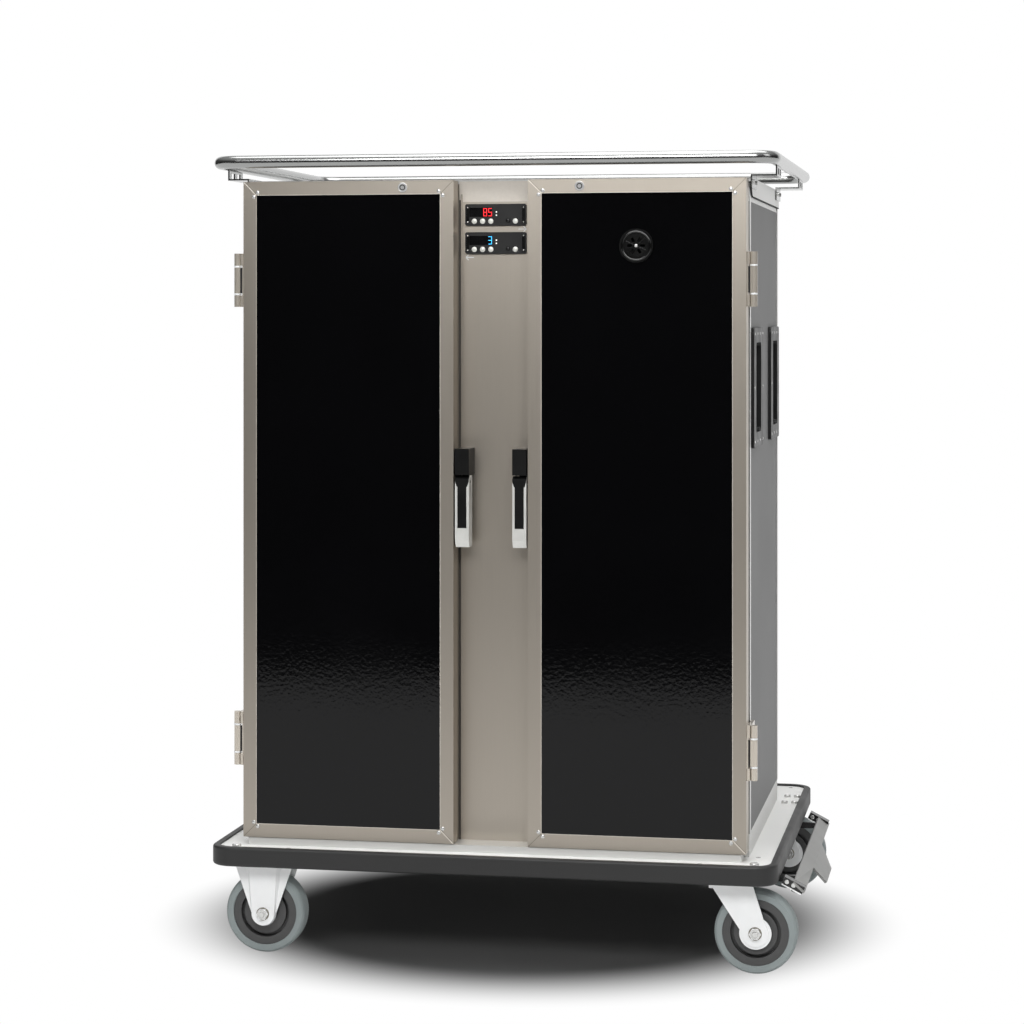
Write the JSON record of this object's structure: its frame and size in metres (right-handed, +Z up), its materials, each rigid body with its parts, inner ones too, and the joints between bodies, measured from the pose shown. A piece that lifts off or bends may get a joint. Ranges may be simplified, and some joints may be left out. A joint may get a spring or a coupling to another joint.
{
  "type": "food transport cart",
  "caption": "Insulated food transport cart: hinged doors on a castor platform with bumper, middle post with controllers and lever latches, guard rail, bowl grips and foot brake.",
  "frame": {"origin": "on the floor, at the middle of the cart's overall length and depth", "axes": "X along the cart's length with the push end and foot brake at +X, Y from the doors (-Y) to the back (+Y), Z up"},
  "size_m": [1.1918, 0.925, 1.578],
  "materials": {
    "brushed_deck": "brushed stainless sheet",
    "brushed_steel": "brushed stainless sheet",
    "inner_steel": "plain rolled stainless sheet",
    "element_steel": "plain steel, slightly tinted by heat",
    "polished_rail": "polished stainless tube",
    "grey_wall": "smooth semi-gloss grey coating",
    "champagne": "champagne anodised, fine vertical brushing",
    "pale_profile": "satin anodised",
    "black_panel": "black gloss panel",
    "dark_bumper": "dark grey moulded bumper",
    "frame_paint": "dark grey coated tube",
    "zinc": "bright zinc plated pressed steel",
    "brake_paint": "grey powder coat",
    "black_clamp": "black moulded clamps and coated arms",
    "black_plastic": "black moulded plastic, fine grain",
    "vent_black": "black moulded plastic, half gloss",
    "latch_black": "black coated die casting",
    "cast_lever": "silver coated die casting",
    "chrome_lock": "chrome plated",
    "bright_fixings": "bright steel heads",
    "button_silver": "silver coated push buttons",
    "gasket_rubber": "soft black rubber",
    "grey_tyre": "blue-grey non-marking rubber",
    "wheel_plastic": "dark grey moulded wheel centre"
  },
  "bodies": {
    "cart": {"deck": "brushed_deck", "bumper": "dark_bumper", "chassis_frame": "frame_paint", "castor_mounts": "zinc", "cabinet_floor": "brushed_steel", "cabinet_roof": "brushed_steel", "side_walls": "grey_wall", "back_wall": "grey_wall", "centre_partition": "brushed_steel", "centre_post": "champagne", "corner_profiles": "pale_profile", "top_cover": "brushed_steel", "guard_rail": "polished_rail", "side_grips": "black_plastic", "bolts_and_screws": "bright_fixings", "controller_cases": "black_plastic", "latch_housings": "latch_black", "cabinet_hinges": "champagne", "tray_runners": "inner_steel", "air_baffles": "inner_steel", "air_elements": "element_steel", "power_inlet": "black_plastic"},
    "left_door": {"left_door_frame": "champagne", "left_door_panel": "black_panel", "left_door_liner": "inner_steel", "left_door_gasket": "gasket_rubber", "left_door_hinges": "champagne"},
    "right_door": {"right_door_frame": "champagne", "right_door_panel": "black_panel", "right_door_liner": "inner_steel", "right_door_gasket": "gasket_rubber", "right_door_hinges": "champagne", "vent_ring": "vent_black"},
    "left_lock": {"left_lock_plug": "chrome_lock"},
    "right_lock": {"right_lock_plug": "chrome_lock"},
    "vent_dial": {"vent_dial": "vent_black"},
    "left_latch": {"left_latch_lever": "cast_lever"},
    "left_fan": {"left_fan": "element_steel"},
    "right_latch": {"right_latch_lever": "cast_lever"},
    "right_fan": {"right_fan": "element_steel"},
    "front_swivel": {"front_swivel_fork": "zinc"},
    "rear_swivel": {"rear_swivel_fork": "zinc"},
    "front_left_wheel": {"front_left_tyre": "grey_tyre", "front_left_wheel_centre": "wheel_plastic"},
    "rear_left_wheel": {"rear_left_tyre": "grey_tyre", "rear_left_wheel_centre": "wheel_plastic"},
    "front_right_wheel": {"front_right_tyre": "grey_tyre", "front_right_wheel_centre": "wheel_plastic"},
    "rear_right_wheel": {"rear_right_tyre": "grey_tyre", "rear_right_wheel_centre": "wheel_plastic"},
    "brake": {"brake_bar": "brake_paint", "brake_arms": "black_clamp"},
    "upper_button_1": {"upper_button_1": "button_silver"},
    "upper_button_2": {"upper_button_2": "button_silver"},
    "upper_button_3": {"upper_button_3": "button_silver"},
    "upper_button_4": {"upper_button_4": "button_silver"},
    "lower_button_1": {"lower_button_1": "button_silver"},
    "lower_button_2": {"lower_button_2": "button_silver"},
    "lower_button_3": {"lower_button_3": "button_silver"},
    "lower_button_4": {"lower_button_4": "button_silver"}
  },
  "joints": [
    {"name": "left_door_hinge", "type": "hinge", "parent": "cart", "child": "left_door", "pos_m": [-0.55186, -0.4005, 0.878], "axis": [0, 0, -1], "range_deg": [0, 180]},
    {"name": "right_door_hinge", "type": "hinge", "parent": "cart", "child": "right_door", "pos_m": [0.47614, -0.4005, 0.878], "axis": [0, 0, 1], "range_deg": [0, 180]},
    {"name": "left_lock_turn", "type": "hinge", "parent": "left_door", "child": "left_lock", "pos_m": [-0.21386, -0.4085, 1.5145], "axis": [0, 1, 0], "range_deg": [0, 90]},
    {"name": "right_lock_turn", "type": "hinge", "parent": "right_door", "child": "right_lock", "pos_m": [0.13814, -0.4085, 1.5145], "axis": [0, 1, 0], "range_deg": [0, 90]},
    {"name": "vent_dial_turn", "type": "hinge", "parent": "right_door", "child": "vent_dial", "pos_m": [0.24914, -0.4075, 1.398], "axis": [0, 1, 0], "range_deg": [0, 30]},
    {"name": "left_latch_pull", "type": "hinge", "parent": "cart", "child": "left_latch", "pos_m": [-0.09486, -0.3945, 0.937], "axis": [-1, 0, 0], "range_deg": [0, 35], "stiffness_Nm_per_rad": 0.6},
    {"name": "left_fan_spin", "type": "hinge", "parent": "cart", "child": "left_fan", "pos_m": [-0.31286, 0.1965, 0.837], "axis": [0, 1, 0], "continuous": true},
    {"name": "right_latch_pull", "type": "hinge", "parent": "cart", "child": "right_latch", "pos_m": [0.01914, -0.3945, 0.937], "axis": [-1, 0, 0], "range_deg": [0, 35], "stiffness_Nm_per_rad": 0.6},
    {"name": "right_fan_spin", "type": "hinge", "parent": "cart", "child": "right_fan", "pos_m": [0.23714, 0.1965, 0.837], "axis": [0, 1, 0], "continuous": true},
    {"name": "front_swivel_turn", "type": "hinge", "parent": "cart", "child": "front_swivel", "pos_m": [0.42714, -0.3895, 0.194], "axis": [0, 0, 1], "continuous": true},
    {"name": "rear_swivel_turn", "type": "hinge", "parent": "cart", "child": "rear_swivel", "pos_m": [0.42714, 0.3895, 0.194], "axis": [0, 0, 1], "continuous": true},
    {"name": "front_left_wheel_roll", "type": "hinge", "parent": "cart", "child": "front_left_wheel", "pos_m": [-0.49286, -0.3895, 0.08], "axis": [0, 1, 0], "continuous": true},
    {"name": "rear_left_wheel_roll", "type": "hinge", "parent": "cart", "child": "rear_left_wheel", "pos_m": [-0.49286, 0.3895, 0.08], "axis": [0, 1, 0], "continuous": true},
    {"name": "front_right_wheel_roll", "type": "hinge", "parent": "front_swivel", "child": "front_right_wheel", "pos_m": [0.48014, -0.3895, 0.08], "axis": [0, 1, 0], "continuous": true},
    {"name": "rear_right_wheel_roll", "type": "hinge", "parent": "rear_swivel", "child": "rear_right_wheel", "pos_m": [0.48014, 0.3895, 0.08], "axis": [0, 1, 0], "continuous": true},
    {"name": "brake_pedal_press", "type": "hinge", "parent": "cart", "child": "brake", "pos_m": [0.49214, -0.0345, 0.186], "axis": [0, 1, 0], "range_deg": [0, 15]},
    {"name": "upper_button_1_press", "type": "slide", "parent": "cart", "child": "upper_button_1", "axis": [0, 1, 0], "range_m": [0, 0.0015], "stiffness_N_per_m": 400},
    {"name": "upper_button_2_press", "type": "slide", "parent": "cart", "child": "upper_button_2", "axis": [0, 1, 0], "range_m": [0, 0.0015], "stiffness_N_per_m": 400},
    {"name": "upper_button_3_press", "type": "slide", "parent": "cart", "child": "upper_button_3", "axis": [0, 1, 0], "range_m": [0, 0.0015], "stiffness_N_per_m": 400},
    {"name": "upper_button_4_press", "type": "slide", "parent": "cart", "child": "upper_button_4", "axis": [0, 1, 0], "range_m": [0, 0.0015], "stiffness_N_per_m": 400},
    {"name": "lower_button_1_press", "type": "slide", "parent": "cart", "child": "lower_button_1", "axis": [0, 1, 0], "range_m": [0, 0.0015], "stiffness_N_per_m": 400},
    {"name": "lower_button_2_press", "type": "slide", "parent": "cart", "child": "lower_button_2", "axis": [0, 1, 0], "range_m": [0, 0.0015], "stiffness_N_per_m": 400},
    {"name": "lower_button_3_press", "type": "slide", "parent": "cart", "child": "lower_button_3", "axis": [0, 1, 0], "range_m": [0, 0.0015], "stiffness_N_per_m": 400},
    {"name": "lower_button_4_press", "type": "slide", "parent": "cart", "child": "lower_button_4", "axis": [0, 1, 0], "range_m": [0, 0.0015], "stiffness_N_per_m": 400}
  ]
}
